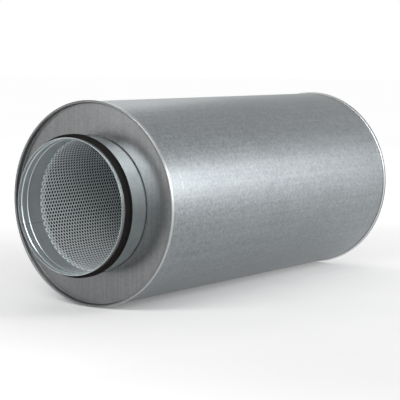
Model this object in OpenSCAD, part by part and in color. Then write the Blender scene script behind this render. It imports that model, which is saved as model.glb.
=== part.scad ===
// Round duct sound attenuator: a galvanised casing round a perforated liner, with mineral wool
// between them, closed by two end caps whose spigots plug into the ducts on both sides.
// Millimetres, duct axis along X with the front at -X, +Z up, origin at the middle.

/* [Duct] */

// Inside diameter of the duct that slides over each spigot
duct_d = 200; // [125:1:250]
// Play between a spigot and that duct, on the radius
duct_play = 0.5; // [0.2:0.1:1]

/* [Casing] */

// Outside diameter of the casing
casing_d = 300; // [260:1:500]
// Length of the casing
casing_length = 606; // [200:2:1200]
// Thickness of the casing's sheet
casing_sheet = 0.7; // [0.5:0.1:1.5]
// Length of the stretch pressed in at each end
band_length = 30; // [12:1:60]
// Depth of the pressed stretch below the rest of the casing
band_depth = 0.25; // [0.1:0.05:1]
// Length of the slope between the casing and the pressed stretch
band_slope = 2; // [1:0.5:6]
// Length of the edge folded back flat at each end
fold_length = 2.8; // [2:0.1:8]
// Width of the lock seam along the casing
seam_width = 8; // [5:0.5:15]
// Direction of the lock seam from the axis, counted from the top towards the back
seam_angle = 120; // [0:5:355]
// Plain stretch between the lock seam and an end cap's edge
seam_gap = 1.5; // [1:0.5:10]

/* [End caps] */

// Thickness of the caps' sheet
cap_sheet = 1; // [0.6:0.1:2]
// Depth of a cap's face below the crest of its rim
cap_sink = 8; // [4:0.5:20]
// Radius of the bend between a cap's face and the wall up to its rim
sink_bend = 1.5; // [1:0.1:4]
// Inner radius of the bend that turns a cap's hole inwards round the spigot
neck_bend = 0.6; // [0.3:0.1:2]
// Straight length of that turned edge
neck_length = 1; // [0.5:0.5:5]
// Play between that turned edge and the spigot
neck_play = 0.4; // [0.2:0.1:1]
// Play between the casing's folded edge and the hem that hooks round it
hem_play = 0.5; // [0.1:0.05:0.8]
// Inner radius of the hem's bends
hem_bend = 0.6; // [0.3:0.1:0.8]
// Play between a cap's cut edge and the wall that it closes on
edge_play = 0.1; // [0.05:0.05:0.3]

/* [Spigots] */

// Length of each spigot in front of its cap
spigot_length = 54; // [44:1:90]
// Thickness of the spigots' sheet
spigot_sheet = 0.7; // [0.5:0.1:1]
// Plain stretch between a spigot's mouth and its seal
lip_length = 6.5; // [4:0.5:12]
// Width of the floor of the groove rolled in for the seal
groove_width = 13; // [8:0.5:16]
// Depth of that groove
groove_depth = 1; // [0.8:0.1:4]
// Length of the groove's sloping sides along the spigot
groove_slope = 1; // [0.8:0.1:3]
// Extra depth of the groove's rear corner, where the seal's heel sits
heel_depth = 0.6; // [0.3:0.1:1]
// Width of that corner, with the slope down to it
heel_width = 2.4; // [1.5:0.1:4]
// Width of the flange on the turned edge of the cap's hole
flange_width = 8; // [4:0.5:16]

/* [Seals] */

// Height of the seals' lips above the spigot
seal_lip_height = 4.5; // [2:0.1:7]
// Distance that each lip leans back from its root to its tip
seal_lip_lean = 3.2; // [1:0.1:5]
// Thickness of each lip at its tip
seal_lip_tip = 0.9; // [0.5:0.1:1.5]
// Thickness of each lip at its root
seal_lip_root = 2.4; // [1.5:0.1:3]
// Plain stretch between the groove's edge and the first lip
seal_edge = 0.8; // [0.5:0.1:2]
// Play between a seal and its groove
seal_play = 0.05; // [0.02:0.01:0.2]

/* [Liner and packing] */

// Thickness of the perforated sheet
liner_sheet = 0.7; // [0.5:0.1:1.5]
// Length of the liner that plugs into each spigot, in front of the cap's face
liner_plug = 6; // [5:0.5:20]
// Play between the liner and the spigots that hold its ends
liner_play = 0.2; // [0.1:0.05:0.5]
// Diameter of the liner's holes
hole_d = 9; // [3:0.5:9]
// Distance between neighbouring holes
hole_pitch = 12; // [11:0.5:40]
// Plain margin at the liner's ends
hole_margin = 3; // [2:0.5:20]
// Thickness of the glass fleece round the liner
fleece_thickness = 0.5; // [0.3:0.1:2]
// Play between the fleece, the wool and the sheets on both sides of them
layer_play = 0.1; // [0.05:0.05:0.5]

/* [Hidden] */

// Fineness of the preview
$fn = 180;
HOLE_FN = 24;

// Steps of the small bends
BEND_STEPS = 5;

// Seal lips side by side in one groove
SEAL_LIPS = 2;

ZINC = [0.66, 0.69, 0.70];
ZINC_DARK = [0.52, 0.54, 0.55];
RUBBER = [0.06, 0.06, 0.06];
FLEECE = [0.10, 0.10, 0.11];
WOOL = [0.78, 0.70, 0.42];

// Half lengths along the axis, from the middle
casing_end = casing_length / 2;
rim_front = casing_end + cap_sheet;
cap_face = rim_front - cap_sink;
neck_turn = neck_bend + cap_sheet;
flange_face = cap_face - neck_turn - neck_length;
mouth = cap_face + spigot_length;
liner_end = cap_face + liner_plug;
packing_end = flange_face - spigot_sheet;

// Radii of the casing and of the caps' rims, with the hems round its ends
casing_r = casing_d / 2;
band_r = casing_r - band_depth;
fold_r = band_r + casing_sheet;
fold_nose = 0.75 * casing_sheet;
rim_r = fold_r + hem_play + cap_sheet;
rim_bend = hem_bend + cap_sheet;
wall_r = band_r - casing_sheet - edge_play - cap_sheet;
rim_back = casing_end - fold_length - hem_play - cap_sheet;

// Radii of what lies inside one another, from the duct's side to the casing
spigot_r = duct_d / 2 - duct_play;
neck_r = spigot_r + neck_play;
liner_r = spigot_r - spigot_sheet - liner_play;
fleece_in_r = liner_r + layer_play;
fleece_out_r = fleece_in_r + fleece_thickness;
wool_in_r = fleece_out_r + layer_play;
wool_out_r = band_r - casing_sheet - layer_play;

// Places along a spigot, counted from its mouth
groove_start = lip_length;
floor_start = groove_start + groove_slope;
floor_end = floor_start + groove_width;
heel_start = floor_end - heel_width;
heel_floor = -groove_depth - heel_depth;
groove_end = floor_end + groove_slope;
lip_spacing = (groove_end - groove_start - 2 * seal_edge) / SEAL_LIPS;

// Staggered holes: an even number of rows round the liner, each half a pitch from the next
liner_rows = 2 * round(PI * liner_r / (hole_pitch * cos(30)));
liner_columns = floor((2 * (liner_end - hole_margin) - hole_d) / hole_pitch - 0.5) + 1;

function reverse(list) = [for (i = [len(list) - 1 : -1 : 0]) list[i]];

function unit(v) = v / norm(v);

function left_of(v) = [-v.y, v.x];

// Points of an arc, both ends included
function arc(centre, r, from, to, steps = BEND_STEPS) =
  [for (i = [0 : steps]) let (a = from + (to - from) * i / steps) centre + r * [cos(a), sin(a)]];

// The same path, shifted to its right by a sheet's thickness, with mitred corners
function right_of(path, sheet) =
  let (last = len(path) - 1)
  [for (i = [0 : last])
    let (
      to = max(i, 1),
      from = min(i, last - 1),
      before = left_of(unit(path[to] - path[to - 1])),
      after = left_of(unit(path[from + 1] - path[from]))
    )
    path[i] - sheet * (before + after) / (1 + before * after)];

// A point on a spigot: its height above the wall and its distance from the mouth
function on_spigot(height, depth) = [spigot_r + height, mouth - depth];

// Outer side of the casing's upper half in section, from its middle over the end and back inside
function casing_half() = concat(
  [[casing_r, casing_end - band_length - band_slope],
   [band_r, casing_end - band_length],
   [band_r, casing_end - fold_length],
   [fold_r, casing_end - fold_length]],
  arc([fold_r - fold_nose, casing_end - fold_nose], fold_nose, 0, 90),
  arc([band_r - casing_sheet + fold_nose, casing_end - fold_nose], fold_nose, 90, 180),
  [[band_r - casing_sheet, casing_end - band_length],
   [casing_r - casing_sheet, casing_end - band_length - band_slope]]);

// Outer side of a cap in section, from its hole up the wall and over the rim to the edge of the hem
function cap_path() = concat(
  [[neck_r, flange_face]],
  arc([neck_r + neck_turn, cap_face - neck_turn], neck_turn, 180, 90),
  arc([wall_r - sink_bend, cap_face + sink_bend], sink_bend, -90, 0),
  arc([wall_r + rim_bend, rim_front - rim_bend], rim_bend, 180, 90),
  arc([rim_r - rim_bend, rim_front - rim_bend], rim_bend, 90, 0),
  arc([rim_r - rim_bend, rim_back + rim_bend], rim_bend, 0, -90),
  [[band_r + edge_play, rim_back]]);

// Outer side of a spigot in section, from its mouth to the edge of its flange
function spigot_path() = [
  on_spigot(0, 0),
  on_spigot(0, groove_start),
  on_spigot(-groove_depth, floor_start),
  on_spigot(-groove_depth, heel_start),
  on_spigot(heel_floor, heel_start + heel_depth),
  on_spigot(heel_floor, floor_end),
  on_spigot(0, groove_end),
  [spigot_r, flange_face],
  [spigot_r + flange_width, flange_face]];

// One lip of a seal in section, from its front root round the tip to its rear root
function seal_lip(depth) = let (
    tip = on_spigot(seal_lip_height - seal_lip_tip / 2, depth + seal_lip_lean),
    along = unit(tip - on_spigot(0, depth + seal_lip_root / 2)),
    side = atan2(along.x, -along.y)
  ) concat(
  [on_spigot(0, depth)],
  arc(tip, seal_lip_tip / 2, side, side - 180),
  [on_spigot(0, depth + seal_lip_root)]);

// A seal in section: the groove's outline less the play, with its lips on top
function seal_outline() = concat(
  [on_spigot(seal_play - groove_depth, floor_start + 2 * seal_play),
   on_spigot(0, groove_start + 2 * seal_play)],
  [for (i = [0 : SEAL_LIPS - 1]) each seal_lip(groove_start + seal_edge + i * lip_spacing)],
  [on_spigot(0, groove_end - 2 * seal_play),
   on_spigot(seal_play + heel_floor, floor_end - 2 * seal_play),
   on_spigot(seal_play + heel_floor, heel_start + heel_depth + 2 * seal_play),
   on_spigot(seal_play - groove_depth, heel_start + 2 * seal_play)]);

module along_duct() {
  rotate([0, 90, 0]) children();
}

module at_front() {
  along_duct() mirror([0, 0, 1]) children();
}

module at_rear() {
  along_duct() children();
}

// A ring of folded sheet: a path on its outer side, thickened to the path's right
module sheet_ring(path, sheet) {
  rotate_extrude() polygon(concat(path, reverse(right_of(path, sheet))));
}

module tube(outer_r, inner_r, half_length) {
  rotate_extrude()
    translate([inner_r, -half_length])
      square([outer_r - inner_r, 2 * half_length]);
}

// Double fold that locks the casing's edges together, one sheet on another
module lock_seam() {
  angle = seam_width / casing_r * 180 / PI;
  length = 2 * (rim_back - seam_gap);
  rotate([0, 0, 180 - seam_angle - angle / 2])
    rotate_extrude(angle = angle)
      translate([casing_r - casing_sheet / 2, -length / 2])
        square([2.5 * casing_sheet, length]);
}

module outer_casing() {
  upper = casing_half();
  lower = [for (p = reverse(upper)) [p.x, -p.y]];
  color(ZINC) along_duct() {
    rotate_extrude() polygon(concat(upper, lower));
    lock_seam();
  }
}

module end_cap() {
  color(ZINC) sheet_ring(cap_path(), cap_sheet);
}

module spigot() {
  color(ZINC) sheet_ring(spigot_path(), spigot_sheet);
}

module seal() {
  color(RUBBER) rotate_extrude() polygon(seal_outline());
}

module front_end_cap() {
  at_front() end_cap();
}

module rear_end_cap() {
  at_rear() end_cap();
}

module front_spigot() {
  at_front() spigot();
}

module rear_spigot() {
  at_rear() spigot();
}

module front_seal() {
  at_front() seal();
}

module rear_seal() {
  at_rear() seal();
}

// The liner's sheet lies in one narrow flat under each row of holes, with its corners on liner_r
module liner_section(r) {
  turn = 360 / liner_rows;
  polygon([for (i = [0 : liner_rows - 1]) r * [cos((i + 0.5) * turn), sin((i + 0.5) * turn)]]);
}

module perforated_liner() {
  turn = 360 / liner_rows;
  flat_r = liner_r * cos(turn / 2);
  color(ZINC_DARK) along_duct() difference() {
    translate([0, 0, -liner_end])
      linear_extrude(2 * liner_end) difference() {
        liner_section(liner_r);
        liner_section(liner_r - liner_sheet);
      }
    for (row = [0 : liner_rows - 1], column = [0 : liner_columns - 1]) {
      stagger = row % 2 == 0 ? 0.25 : -0.25;
      along = (column - (liner_columns - 1) / 2 + stagger) * hole_pitch;
      rotate([0, 0, row * turn])
        translate([flat_r - 2 * liner_sheet, 0, along])
          rotate([0, 90, 0])
            cylinder(d = hole_d, h = 3 * liner_sheet, $fn = HOLE_FN);
    }
  }
}

module glass_fleece() {
  color(FLEECE) along_duct() tube(fleece_out_r, fleece_in_r, packing_end);
}

module wool_pack() {
  color(WOOL) along_duct() tube(wool_out_r, wool_in_r, packing_end);
}

outer_casing();
front_end_cap();
rear_end_cap();
front_spigot();
rear_spigot();
front_seal();
rear_seal();
perforated_liner();
glass_fleece();
wool_pack();
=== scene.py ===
"""Looks of a round duct sound attenuator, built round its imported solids.

The sheet metal, the seals and the packing keep their solids and get finishes here. The liner gets its
fine perforation in a flat sheet, which is then trimmed, rolled and thickened. Lengths are in metres,
with the duct's axis along X and the front at -X.
"""

import logging
import math
from dataclasses import dataclass, field, replace
from enum import Enum

import bmesh
import bpy
from mathutils import Matrix, Vector


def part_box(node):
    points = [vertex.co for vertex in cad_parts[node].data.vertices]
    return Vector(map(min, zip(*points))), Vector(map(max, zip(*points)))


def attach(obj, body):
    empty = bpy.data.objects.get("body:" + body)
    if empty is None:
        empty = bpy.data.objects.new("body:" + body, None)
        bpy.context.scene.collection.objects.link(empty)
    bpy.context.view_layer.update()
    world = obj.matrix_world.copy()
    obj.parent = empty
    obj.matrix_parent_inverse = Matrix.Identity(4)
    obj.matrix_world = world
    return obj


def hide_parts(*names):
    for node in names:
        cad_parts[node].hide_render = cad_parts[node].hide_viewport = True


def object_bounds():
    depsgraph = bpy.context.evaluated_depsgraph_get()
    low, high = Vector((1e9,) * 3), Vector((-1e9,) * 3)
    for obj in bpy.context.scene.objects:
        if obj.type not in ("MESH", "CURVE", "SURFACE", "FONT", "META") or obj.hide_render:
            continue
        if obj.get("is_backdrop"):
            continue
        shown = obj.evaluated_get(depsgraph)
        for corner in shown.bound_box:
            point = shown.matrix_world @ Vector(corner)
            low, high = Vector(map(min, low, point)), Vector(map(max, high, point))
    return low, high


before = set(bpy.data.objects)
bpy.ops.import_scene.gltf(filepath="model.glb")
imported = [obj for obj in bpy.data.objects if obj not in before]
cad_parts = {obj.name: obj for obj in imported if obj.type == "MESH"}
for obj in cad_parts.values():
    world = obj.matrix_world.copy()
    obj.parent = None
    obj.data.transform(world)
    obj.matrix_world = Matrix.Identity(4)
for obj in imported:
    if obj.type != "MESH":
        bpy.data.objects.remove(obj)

LOG = logging.getLogger("attenuator")
BODY = "root"
SENSOR_MM = 36.0

# Middle stretch of a noise's values, which holds nearly all of them
NOISE_LOW, NOISE_HIGH = 0.3, 0.7

# Sockets of a Mix node that mixes colours
MIX_FACTOR, MIX_FIRST, MIX_SECOND, MIX_RESULT = 0, 6, 7, 2

Triple = tuple[float, float, float]
Colour = Triple
Point = Triple


class Grain(Enum):
    """Directions in which a sheet's rolling marks run, as periods per metre along X, Y and Z."""

    ALONG_DUCT = (2.0, 260.0, 260.0)
    UPRIGHT = (40.0, 420.0, 5.0)
    ROUND_DUCT = (420.0, 6.0, 6.0)


class Shader:
    """A node tree with short calls to add nodes and join their sockets."""

    def __init__(self, tree: bpy.types.NodeTree) -> None:
        """Takes the tree of a material or a world, and empties it."""
        self.tree = tree
        tree.nodes.clear()

    def add(
        self, kind: str, inputs: dict[str | int, object] | None = None, **settings: object
    ) -> bpy.types.Node:
        """Adds a node.

        Args:
            kind: The node's type name.
            inputs: Values or output sockets for its inputs, by name or number.
            **settings: Attributes of the node.

        Returns:
            The new node.
        """
        node = self.tree.nodes.new(kind)
        for name, value in settings.items():
            setattr(node, name, value)
        for key, value in (inputs or {}).items():
            if isinstance(value, bpy.types.NodeSocket):
                self.tree.links.new(value, node.inputs[key])
            else:
                node.inputs[key].default_value = value
        return node

    def place(self) -> bpy.types.NodeSocket:
        """Returns the place on the piece, in the piece's own coordinates."""
        return self.add("ShaderNodeTexCoord").outputs["Object"]

    def maths(self, operation: str, *values: object) -> bpy.types.NodeSocket:
        """Adds a Math node with its inputs in order, numbers or sockets, and returns its output."""
        return self.add("ShaderNodeMath", dict(enumerate(values)), operation=operation).outputs[0]

    def blend(self, first: object, second: object, share: float) -> bpy.types.NodeSocket:
        """Returns a mix of two values, with a share from 0 to 1 of the second."""
        return self.maths("MULTIPLY_ADD", second, share, self.maths("MULTIPLY", first, 1.0 - share))

    def noise(self, stretch: Triple, detail: float) -> bpy.types.NodeSocket:
        """Returns a noise from 0 to 1 on the piece, by its periods per metre and its octaves."""
        scaled = self.add("ShaderNodeMapping", {"Vector": self.place(), "Scale": stretch}).outputs[0]
        return self.add("ShaderNodeTexNoise", {"Vector": scaled, "Scale": 1.0, "Detail": detail}).outputs[0]

    def ramp(self, value: bpy.types.NodeSocket, stops: list[tuple[float, Colour]]) -> bpy.types.NodeSocket:
        """Adds a colour ramp.

        Args:
            value: What the ramp reads.
            stops: Places from 0 to 1 with their colours.

        Returns:
            The ramp's colour.
        """
        node = self.add("ShaderNodeValToRGB", {"Fac": value})
        elements = node.color_ramp.elements
        while len(elements) < len(stops):
            elements.new(1.0)
        for element, (place, colour) in zip(elements, stops):
            element.position = place
            element.color = (*colour, 1.0)
        return node.outputs["Color"]

    def rise(
        self, value: bpy.types.NodeSocket, low: float, high: float, top: float = 1.0
    ) -> bpy.types.NodeSocket:
        """Returns a rise from 0 to a top, over the stretch of a value from low to high."""
        limits = {"Value": value, "From Min": low, "From Max": high, "To Max": top}
        return self.add("ShaderNodeMapRange", limits).outputs["Result"]

    def spread(self, value: bpy.types.NodeSocket, low: float, high: float) -> bpy.types.NodeSocket:
        """Returns a noise with its middle stretch mapped onto the range from low to high."""
        noise = {"Value": value, "From Min": NOISE_LOW, "From Max": NOISE_HIGH}
        return self.add("ShaderNodeMapRange", noise | {"To Min": low, "To Max": high}).outputs["Result"]

    def bump(self, height: bpy.types.NodeSocket, depth: float, strength: float) -> bpy.types.NodeSocket:
        """Returns the normal of a fine relief, by its depth in metres and the share of it that shows."""
        relief = {"Strength": strength, "Distance": depth, "Height": height}
        return self.add("ShaderNodeBump", relief).outputs["Normal"]

    def seen(self) -> bpy.types.NodeSocket:
        """Tells the rays that show a background: from the camera, a gloss or a clear pane.

        Returns:
            1 for such a ray and 0 for any other.
        """
        rays = self.add("ShaderNodeLightPath").outputs
        plain = self.maths("MAXIMUM", rays["Is Camera Ray"], rays["Is Glossy Ray"])
        return self.maths("MAXIMUM", plain, rays["Is Transmission Ray"])

    def surface(self, inputs: dict[str | int, object]) -> None:
        """Ends a material in a Principled shader with these inputs."""
        shader = self.add("ShaderNodeBsdfPrincipled", inputs)
        self.add("ShaderNodeOutputMaterial", {"Surface": shader.outputs[0]})


def new_material(name: str) -> tuple[bpy.types.Material, Shader]:
    """Makes an empty node material.

    Args:
        name: The material's name.

    Returns:
        The material and its shader tree.
    """
    material = bpy.data.materials.new(name)
    material.use_nodes = True
    return material, Shader(material.node_tree)


def dress(piece: bpy.types.Object, material: bpy.types.Material) -> None:
    """Gives a piece, or a node of the frame, one material."""
    piece.data.materials.clear()
    piece.data.materials.append(material)


def new_piece(name: str, bm: bmesh.types.BMesh) -> bpy.types.Object:
    """Turns a finished mesh into an object of the scene, and frees it.

    Args:
        name: The object's name.
        bm: The mesh, in its place.

    Returns:
        The object.
    """
    mesh = bpy.data.meshes.new(name)
    bm.to_mesh(mesh)
    bm.free()
    piece = bpy.data.objects.new(name, mesh)
    bpy.context.scene.collection.objects.link(piece)
    return piece


@dataclass(frozen=True)
class ZincFinish:
    """Galvanised sheet: rolling marks, faint spangle and a thin bloom, on a metal shader.

    A folded edge's crest gets a painted highlight, a paler colour between two given radii, a collar is dull
    inside `dull_r`, and a welded sheet has a dark line of scale at `weld_deg`, counted from the top towards
    the back.
    """

    name: str
    pale: Colour
    deep: Colour
    grain: Grain
    metallic: float
    roughness: tuple[float, float]
    spangle_m: float = 0.009
    spangle_share: float = 0.3
    relief_m: float = 0.00004
    relief_strength: float = 0.5
    bloom_per_m: Triple = (7.0, 7.0, 7.0)
    bloom_share: float = 0.25
    sheet_share: float = 0.77
    deep_tone: float = 0.3
    pale_tone: float = 0.72
    top_tone: float = 0.8
    weld_deg: float | None = None
    weld_width_deg: float = 0.6
    weld_tone: float = 0.2
    scale: Colour = (0.06, 0.062, 0.062)
    # Painted highlight on a folded edge's crest: the radii of its band and its colour
    crest_highlight_radii: tuple[float, float] | None = None
    crest_highlight_colour: Colour = (0.46, 0.47, 0.48)
    dull_r: float | None = None
    dull_metallic: float = 0.6

    def weld(self, s: Shader, axes: bpy.types.NodeOutputs) -> bpy.types.NodeSocket:
        """Marks the weld along a rolled sheet.

        Args:
            s: The finish's shader tree.
            axes: The place's X, Y and Z.

        Returns:
            1 beside the weld's line, falling to 0 on it.
        """
        angle = s.maths("ARCTAN2", axes["Y"], axes["Z"])
        off = s.maths("ABSOLUTE", s.maths("SUBTRACT", angle, math.radians(self.weld_deg)))
        return s.maths("MINIMUM", s.maths("DIVIDE", off, math.radians(self.weld_width_deg)), 1.0)

    def colour(self, s: Shader, tone: bpy.types.NodeSocket) -> bpy.types.NodeSocket:
        """Colours the sheet by its tone.

        Args:
            s: The finish's shader tree.
            tone: 0 on a weld's scale, 1 on the painted highlight of a folded edge's crest, and the sheet's
                own tones between.

        Returns:
            The colour.
        """
        stops = [
            (0.0, self.scale),
            (self.weld_tone, self.deep),
            (self.deep_tone, self.deep),
            (self.pale_tone, self.pale),
            (self.top_tone, self.pale),
            # The top stop is the painted highlight of a folded edge's crest
            (1.0, self.crest_highlight_colour),
        ]
        return s.ramp(tone, stops)

    def material(self) -> bpy.types.Material:
        """Makes the finish.

        Returns:
            The material.
        """
        material, s = new_material(self.name)
        place = s.place()
        axes = s.add("ShaderNodeSeparateXYZ", {"Vector": place}).outputs
        across = s.maths("ADD", s.maths("POWER", axes["Y"], 2.0), s.maths("POWER", axes["Z"], 2.0))
        radius = s.maths("SQRT", across)

        marks = s.noise(self.grain.value, detail=5.0)
        bloom = s.noise(self.bloom_per_m, detail=3.0)
        spangle = s.add("ShaderNodeTexVoronoi", {"Vector": place, "Scale": 1.0 / self.spangle_m})
        sheet = s.blend(marks, spangle.outputs["Color"], self.spangle_share)
        tone = s.maths("MULTIPLY_ADD", bloom, self.bloom_share, s.maths("MULTIPLY", sheet, self.sheet_share))
        tone = s.maths("MINIMUM", s.maths("MAXIMUM", tone, self.deep_tone), self.top_tone)
        if self.weld_deg is not None:
            tone = s.maths("MULTIPLY", tone, self.weld(s, axes))
        # Painted highlight: the crest of a folded edge, between two radii, takes the paler colour at the
        # ramp's top
        if self.crest_highlight_radii is not None:
            low, high = self.crest_highlight_radii
            highlight_band = s.maths("COMPARE", radius, (low + high) / 2, (high - low) / 2)
            tone = s.maths("MAXIMUM", tone, highlight_band)

        metallic = self.metallic
        if self.dull_r is not None:
            inside = s.maths("LESS_THAN", radius, self.dull_r)
            metallic = s.maths("MULTIPLY_ADD", inside, self.dull_metallic - self.metallic, self.metallic)
        s.surface(
            {
                "Base Color": self.colour(s, tone),
                "Metallic": metallic,
                "Roughness": s.spread(sheet, *self.roughness),
                "Normal": s.bump(marks, self.relief_m, self.relief_strength),
            }
        )
        return material


@dataclass(frozen=True)
class RubberFinish:
    """Black elastomer with mould marks round the ring and a little dust."""

    name: str
    black: Colour = (0.004, 0.004, 0.004)
    dusty: Colour = (0.014, 0.011, 0.010)
    black_tone: float = 0.38
    dusty_tone: float = 0.68
    marks_per_m: Triple = (900.0, 10.0, 10.0)
    dust_per_m: Triple = (60.0, 60.0, 60.0)
    dust_share: float = 0.5
    gloss: float = 0.08
    roughness: tuple[float, float] = (0.5, 0.7)
    relief_m: float = 0.0001
    relief_strength: float = 0.4

    def material(self) -> bpy.types.Material:
        """Makes the finish.

        Returns:
            The material.
        """
        material, s = new_material(self.name)
        marks = s.noise(self.marks_per_m, detail=3.0)
        dust = s.noise(self.dust_per_m, detail=4.0)
        tone = s.blend(marks, dust, self.dust_share)
        s.surface(
            {
                "Base Color": s.ramp(tone, [(self.black_tone, self.black), (self.dusty_tone, self.dusty)]),
                "Specular IOR Level": self.gloss,
                "Roughness": s.spread(dust, *self.roughness),
                "Normal": s.bump(marks, self.relief_m, self.relief_strength),
            }
        )
        return material


@dataclass(frozen=True)
class FibreFinish:
    """Fleece or wool: fine fibres in two tones."""

    name: str
    pale: Colour
    deep: Colour
    fibres_per_m: Triple
    deep_tone: float = 0.36
    pale_tone: float = 0.66
    roughness: float = 0.95
    relief_m: float = 0.0005
    relief_strength: float = 0.8

    def material(self) -> bpy.types.Material:
        """Makes the finish.

        Returns:
            The material.
        """
        material, s = new_material(self.name)
        fibres = s.noise(self.fibres_per_m, detail=6.0)
        s.surface(
            {
                "Base Color": s.ramp(fibres, [(self.deep_tone, self.deep), (self.pale_tone, self.pale)]),
                "Roughness": self.roughness,
                "Normal": s.bump(fibres, self.relief_m, self.relief_strength),
            }
        )
        return material


@dataclass(frozen=True)
class SweepFinish:
    """Matt white studio paper, kept pale far from the lamps for the rays that show a background.

    The glow starts `lit_r` from the middle of the lit floor and is full at `unlit_r`.
    """

    name: str
    white: Colour = (0.78, 0.78, 0.78)
    shade: Colour = (0.76, 0.76, 0.76)
    shade_tone: float = 0.4
    white_tone: float = 0.6
    clouds_per_m: Triple = (3.0, 3.0, 3.0)
    glow: float = 0.63
    lit: Point = (-1.2, -0.9, -0.15)
    lit_r: float = 0.8
    unlit_r: float = 3.0

    def material(self) -> bpy.types.Material:
        """Makes the finish.

        Returns:
            The material.
        """
        material, s = new_material(self.name)
        clouds = s.noise(self.clouds_per_m, detail=2.0)
        colour = s.ramp(clouds, [(self.shade_tone, self.shade), (self.white_tone, self.white)])
        paper = s.add("ShaderNodeBsdfDiffuse", {"Color": colour})
        off = s.add("ShaderNodeVectorMath", {0: s.place(), 1: self.lit}, operation="DISTANCE")
        far = s.rise(off.outputs["Value"], self.lit_r, self.unlit_r, self.glow)
        glow = s.add("ShaderNodeEmission", {"Strength": s.maths("MULTIPLY", s.seen(), far)})
        both = s.add("ShaderNodeAddShader", {0: paper.outputs[0], 1: glow.outputs[0]})
        s.add("ShaderNodeOutputMaterial", {"Surface": both.outputs[0]})
        return material


CASING_ZINC = ZincFinish(
    "casing_zinc",
    pale=(0.30, 0.324, 0.336),
    deep=(0.20, 0.216, 0.226),
    grain=Grain.ALONG_DUCT,
    metallic=0.9,
    roughness=(0.37, 0.45),
    spangle_m=0.003,
    spangle_share=0.6,
    relief_m=0.000012,
)
CAP_ZINC = ZincFinish(
    "cap_zinc",
    pale=(0.24, 0.243, 0.246),
    deep=(0.17, 0.173, 0.176),
    grain=Grain.UPRIGHT,
    metallic=0.9,
    roughness=(0.295, 0.305),
    spangle_m=0.003,
    relief_m=0.000006,
    # Painted highlight: a paler band on the front rim's crest
    crest_highlight_radii=(0.1512, 0.1530),
)
REAR_CAP_ZINC = replace(
    CAP_ZINC,
    name="rear_cap_zinc",
    # Painted highlight: a near-white band on the rear rim's crest
    crest_highlight_radii=(0.1500, 0.1517),
    crest_highlight_colour=(0.85, 0.86, 0.87),
)
SPIGOT_ZINC = ZincFinish(
    "spigot_zinc",
    pale=(0.54, 0.595, 0.605),
    deep=(0.49, 0.54, 0.55),
    grain=Grain.ROUND_DUCT,
    metallic=0.85,
    roughness=(0.2, 0.22),
    relief_m=0.000004,
    weld_deg=109.0,
    dull_r=0.0992,
)
LINER_ZINC = ZincFinish(
    "liner_zinc",
    pale=(0.78, 0.82, 0.84),
    deep=(0.69, 0.73, 0.75),
    grain=Grain.ALONG_DUCT,
    metallic=0.35,
    roughness=(0.32, 0.44),
)
SEAL_RUBBER = RubberFinish("seal_rubber")
GLASS_FLEECE = FibreFinish(
    "fleece",
    pale=(0.008, 0.008, 0.008),
    deep=(0.002, 0.002, 0.002),
    fibres_per_m=(700.0, 700.0, 700.0),
)
MINERAL_WOOL = FibreFinish(
    "wool",
    pale=(0.50, 0.42, 0.20),
    deep=(0.27, 0.20, 0.08),
    fibres_per_m=(40.0, 500.0, 500.0),
)
WHITE_PAPER = SweepFinish("white_paper")


Finish = ZincFinish | RubberFinish | FibreFinish


@dataclass
class DressedSolids:
    """Nodes of the frame that keep their solids and only need their finishes."""

    finishes: dict[str, Finish]

    def dress(self) -> None:
        """Gives each node its finish, with one material for the nodes that share one."""
        made = {finish: finish.material() for finish in dict.fromkeys(self.finishes.values())}
        for node, finish in self.finishes.items():
            dress(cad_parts[node], made[finish])
            LOG.info("%s: %s", node, finish.name)


@dataclass
class SheetMetal(DressedSolids):
    """The casing, the caps and the spigots."""

    finishes: dict[str, Finish] = field(
        default_factory=lambda: {
            "outer_casing": CASING_ZINC,
            "front_end_cap": CAP_ZINC,
            "rear_end_cap": REAR_CAP_ZINC,
            "front_spigot": SPIGOT_ZINC,
            "rear_spigot": SPIGOT_ZINC,
        }
    )


@dataclass
class Seals(DressedSolids):
    """The lip seals on both spigots."""

    finishes: dict[str, Finish] = field(
        default_factory=lambda: {"front_seal": SEAL_RUBBER, "rear_seal": SEAL_RUBBER}
    )


@dataclass
class Packing(DressedSolids):
    """The fleece and the wool behind the liner."""

    finishes: dict[str, Finish] = field(
        default_factory=lambda: {"glass_fleece": GLASS_FLEECE, "wool_pack": MINERAL_WOOL}
    )


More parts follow.
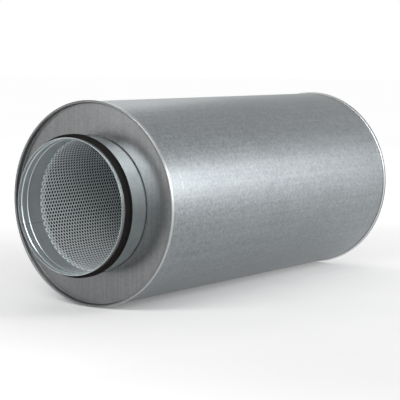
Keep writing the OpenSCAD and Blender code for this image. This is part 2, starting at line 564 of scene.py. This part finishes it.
@dataclass
class PerforatedLiner:
    """The perforated sheet: drilled flat as staggered tiles, trimmed at both ends and rolled round the duct.

    It is made in several stretches, to keep each piece's triangles few. `trim_share` is the place of the
    trimmed end within a pitch: there the cut runs through the holes.
    """

    node: str = "perforated_liner"
    hole_d: float = 0.0045
    pitch: float = 0.006
    sheet: float = 0.0007
    hole_sides: int = 8
    sections: int = 5
    trim_share: float = 0.17
    stagger_deg: float = 30.0
    merge_share: float = 0.01
    outer_r: float = field(init=False)
    half_length: float = field(init=False)
    rows: int = field(init=False)
    row_step: float = field(init=False)
    columns: int = field(init=False)

    def __post_init__(self) -> None:
        """Takes the liner's reach from the frame and fits a whole number of rows round it."""
        self.half_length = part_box(self.node)[1].x
        self.outer_r = max(v.co.yz.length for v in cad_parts[self.node].data.vertices)
        around = 2 * math.pi * self.outer_r
        self.rows = 2 * round(around / (2 * self.pitch * math.cos(math.radians(self.stagger_deg))))
        self.row_step = around / self.rows
        # One column more than the length needs at each end, for the trim
        self.columns = math.ceil(2 * self.half_length / self.pitch) + 2

    def tile(self, bm: bmesh.types.BMesh, row: int) -> None:
        """Adds one tile of flat sheet with a hole through it, at the start of a row.

        Args:
            bm: The mesh.
            row: 0 or 1; the second row is half a pitch further on.
        """
        made = bmesh.ops.create_grid(bm, x_segments=2, y_segments=2, size=0.5)["verts"]
        middle = min(made, key=lambda v: v.co.length)
        border = [v for v in made if v is not middle]
        bmesh.ops.scale(bm, vec=(self.pitch, self.row_step, 1.0), verts=border)
        bmesh.ops.delete(bm, geom=[middle], context="VERTS")
        # A polygon with the round hole's area
        side = 2 * math.pi / self.hole_sides
        radius = self.hole_d / 2 * math.sqrt(side / math.sin(side))
        hole = bmesh.ops.create_circle(bm, segments=self.hole_sides, radius=radius)["verts"]
        edges = {e for v in border + hole for e in v.link_edges}
        bmesh.ops.bridge_loops(bm, edges=list(edges))
        start = Vector((row * self.pitch / 2, row * self.row_step, 0.0))
        bmesh.ops.translate(bm, vec=start, verts=border + hole)

    def merge(self, bm: bmesh.types.BMesh) -> None:
        """Joins the vertices of a mesh that meet where its tiles do."""
        bmesh.ops.remove_doubles(bm, verts=bm.verts[:], dist=self.pitch * self.merge_share)

    def repeat(self, bm: bmesh.types.BMesh, count: int, step: Vector) -> None:
        """Repeats all of a mesh along a line.

        Args:
            bm: The mesh.
            count: Copies in all, with the first.
            step: From one copy to the next.
        """
        first = bm.verts[:] + bm.edges[:] + bm.faces[:]
        for i in range(1, count):
            copy = bmesh.ops.duplicate(bm, geom=first)["geom"]
            verts = [g for g in copy if isinstance(g, bmesh.types.BMVert)]
            bmesh.ops.translate(bm, vec=step * i, verts=verts)
        self.merge(bm)

    def trim(self, bm: bmesh.types.BMesh) -> None:
        """Cuts off what reaches past the liner's ends.

        Args:
            bm: The mesh, flat in X and Y.
        """
        for side in (-1.0, 1.0):
            bmesh.ops.bisect_plane(
                bm,
                geom=bm.verts[:] + bm.edges[:] + bm.faces[:],
                plane_co=(side * self.half_length, 0.0, 0.0),
                plane_no=(side, 0.0, 0.0),
                clear_outer=True,
            )

    def roll(self, bm: bmesh.types.BMesh) -> None:
        """Rolls the flat sheet into a tube round X and closes its seam.

        Args:
            bm: The mesh, flat in X and Y.
        """
        for v in bm.verts:
            angle = v.co.y / self.outer_r
            v.co = (v.co.x, self.outer_r * math.sin(angle), self.outer_r * math.cos(angle))
        self.merge(bm)

    def thicken(self, bm: bmesh.types.BMesh) -> None:
        """Gives the rolled sheet its thickness inwards, with walls in its holes.

        Args:
            bm: The mesh, a tube of the outer radius.
        """
        made = bmesh.ops.extrude_face_region(bm, geom=bm.faces[:], use_keep_orig=True)["geom"]
        inner = [g for g in made if isinstance(g, bmesh.types.BMVert)]
        share = 1.0 - self.sheet / self.outer_r
        bmesh.ops.scale(bm, vec=(1.0, share, share), verts=inner)
        bmesh.ops.recalc_face_normals(bm, faces=bm.faces[:])

    def section(self, number: int) -> bpy.types.Object:
        """Builds one stretch of the liner.

        Args:
            number: Which stretch, from 0 at the front.

        Returns:
            The piece.
        """
        start = number * self.columns // self.sections
        end = (number + 1) * self.columns // self.sections
        bm = bmesh.new()
        for row in (0, 1):
            self.tile(bm, row)
        self.repeat(bm, end - start, Vector((self.pitch, 0.0, 0.0)))
        self.repeat(bm, self.rows // 2, Vector((0.0, 2 * self.row_step, 0.0)))
        first = -self.half_length + (start - 1 + self.trim_share) * self.pitch
        bmesh.ops.translate(bm, vec=(first, 0.0, 0.0), verts=bm.verts[:])
        self.trim(bm)
        self.roll(bm)
        self.thicken(bm)
        return new_piece(f"liner_section_{number + 1}", bm)

    def build(self) -> None:
        """Builds and dresses every stretch, in the place of the frame's liner."""
        zinc = LINER_ZINC.material()
        for number in range(self.sections):
            piece = self.section(number)
            dress(piece, zinc)
            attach(piece, BODY)
            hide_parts(self.node)
            LOG.info("%s: %d faces", piece.name, len(piece.data.polygons))


@dataclass(frozen=True)
class Softbox:
    """A rectangular lamp that faces a point."""

    name: str
    place: Point
    target: Point
    size: tuple[float, float]
    watts: float

    def build(self) -> None:
        """Adds the lamp to the scene."""
        lamp = bpy.data.lights.new(self.name, "AREA")
        lamp.shape = "RECTANGLE"
        lamp.size, lamp.size_y = self.size
        lamp.energy = self.watts
        holder = bpy.data.objects.new(self.name, lamp)
        aim = Vector(self.target) - Vector(self.place)
        turn = aim.to_track_quat("-Z", "Y").to_matrix().to_4x4()
        holder.matrix_world = Matrix.Translation(self.place) @ turn
        bpy.context.scene.collection.objects.link(holder)
        LOG.info("%s: %.1f W", self.name, self.watts)


@dataclass
class Studio:
    """Floor, sky, lamps and the camera at the photograph's angle.

    The limits of the sky's parts are heights, and for the ceiling's turn from front to rear places along
    X, on a sphere of radius 1.
    """

    floor_size: float = 40.0
    azimuth_deg: float = -53.5347
    elevation_deg: float = 5.6143
    distance: float = 2.33293
    lens_mm: float = 128.99
    aim: Point = (-0.01319, 0.01496, -0.01751)
    backdrop: Colour = (1.0, 1.0, 1.0)
    wall: Colour = (0.86, 0.86, 0.86)
    front_ceiling: Colour = (0.12, 0.12, 0.12)
    rear_ceiling: Colour = (0.72, 0.72, 0.72)
    backdrop_top: float = 0.05
    wall_start: float = 0.12
    wall_top: float = 0.2
    ceiling_start: float = 0.4
    ceiling_turn: tuple[float, float] = (-0.3, 0.3)
    lamps: tuple[Softbox, ...] = (
        Softbox("side_softbox", (0.6, -1.2, 0.45), (-0.3, 0.0, 0.0), (0.5, 0.5), 6.0),
        Softbox("rear_softbox", (1.28, -1.38, 0.42), (-0.1, 0.0, 0.0), (1.0, 1.0), 5.3),
        Softbox("far_softbox", (1.01, 1.11, 1.23), (-0.1, 0.0, 0.0), (1.0, 1.0), 3.6),
        Softbox("key_softbox", (-1.48, -1.38, 0.42), (-0.1, 0.0, 0.0), (1.0, 1.0), 4.6),
        Softbox("corner_softbox", (-1.35, -0.75, 0.6), (-0.3, 0.0, 0.0), (0.5, 0.5), 3.05),
        Softbox("front_softbox", (-1.3, -0.15, 0.78), (-0.33, 0.0, 0.05), (0.9, 0.35), 9.0),
        Softbox("left_softbox", (-1.3, 0.45, 0.3), (-0.3, 0.0, 0.0), (0.5, 0.5), 1.6),
    )

    def floor(self) -> None:
        """Lays the sheet of white paper that the attenuator lies on."""
        bm = bmesh.new()
        bmesh.ops.create_grid(bm, x_segments=8, y_segments=8, size=self.floor_size / 2)
        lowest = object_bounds()[0][2]
        bmesh.ops.translate(bm, vec=(0.0, 0.0, lowest), verts=bm.verts[:])
        floor = new_piece("floor", bm)
        dress(floor, WHITE_PAPER.material())
        floor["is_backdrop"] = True
        LOG.info("%s: %s", floor.name, WHITE_PAPER.name)

    def sky(self) -> None:
        """Makes the room: a white backdrop, pale walls and a ceiling that is darker in front."""
        world = bpy.data.worlds.new("studio")
        world.use_nodes = True
        bpy.context.scene.world = world
        s = Shader(world.node_tree)
        way = s.add("ShaderNodeTexCoord").outputs["Generated"]
        axes = s.add("ShaderNodeSeparateXYZ", {"Vector": way}).outputs
        behind = s.rise(axes["X"], *self.ceiling_turn)
        ceiling = s.ramp(behind, [(0.0, self.front_ceiling), (1.0, self.rear_ceiling)])
        walls = s.ramp(axes["Z"], [(self.backdrop_top, self.backdrop), (self.wall_start, self.wall)])
        high = s.rise(axes["Z"], self.wall_top, self.ceiling_start)
        parts = {MIX_FACTOR: high, MIX_FIRST: walls, MIX_SECOND: ceiling}
        colour = s.add("ShaderNodeMix", parts, data_type="RGBA").outputs[MIX_RESULT]
        light = s.add("ShaderNodeBackground", {"Color": colour, "Strength": 1.0})
        s.add("ShaderNodeOutputWorld", {"Surface": light.outputs[0]})

    def camera(self) -> None:
        """Sets the camera on a level line at the photograph's azimuth and elevation."""
        azimuth, elevation = math.radians(self.azimuth_deg), math.radians(self.elevation_deg)
        back = Vector(
            (
                math.sin(azimuth) * math.cos(elevation),
                -math.cos(azimuth) * math.cos(elevation),
                math.sin(elevation),
            )
        )
        data = bpy.data.cameras.new("camera")
        data.sensor_fit = "HORIZONTAL"
        data.sensor_width = SENSOR_MM
        data.lens = self.lens_mm
        camera = bpy.data.objects.new("camera", data)
        turn = back.to_track_quat("Z", "Y").to_matrix().to_4x4()
        camera.matrix_world = Matrix.Translation(Vector(self.aim) + back * self.distance) @ turn
        bpy.context.scene.collection.objects.link(camera)
        bpy.context.scene.camera = camera

    def build(self) -> None:
        """Builds the studio."""
        self.floor()
        self.sky()
        for lamp in self.lamps:
            lamp.build()
        self.camera()
        bpy.context.scene.view_settings.view_transform = "Standard"


def main() -> None:
    """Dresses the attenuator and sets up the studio."""
    logging.basicConfig(level=logging.INFO, format="%(name)s %(message)s")
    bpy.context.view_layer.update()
    SheetMetal().dress()
    Seals().dress()
    Packing().dress()
    PerforatedLiner().build()
    Studio().build()


if __name__ == "__main__":
    main()
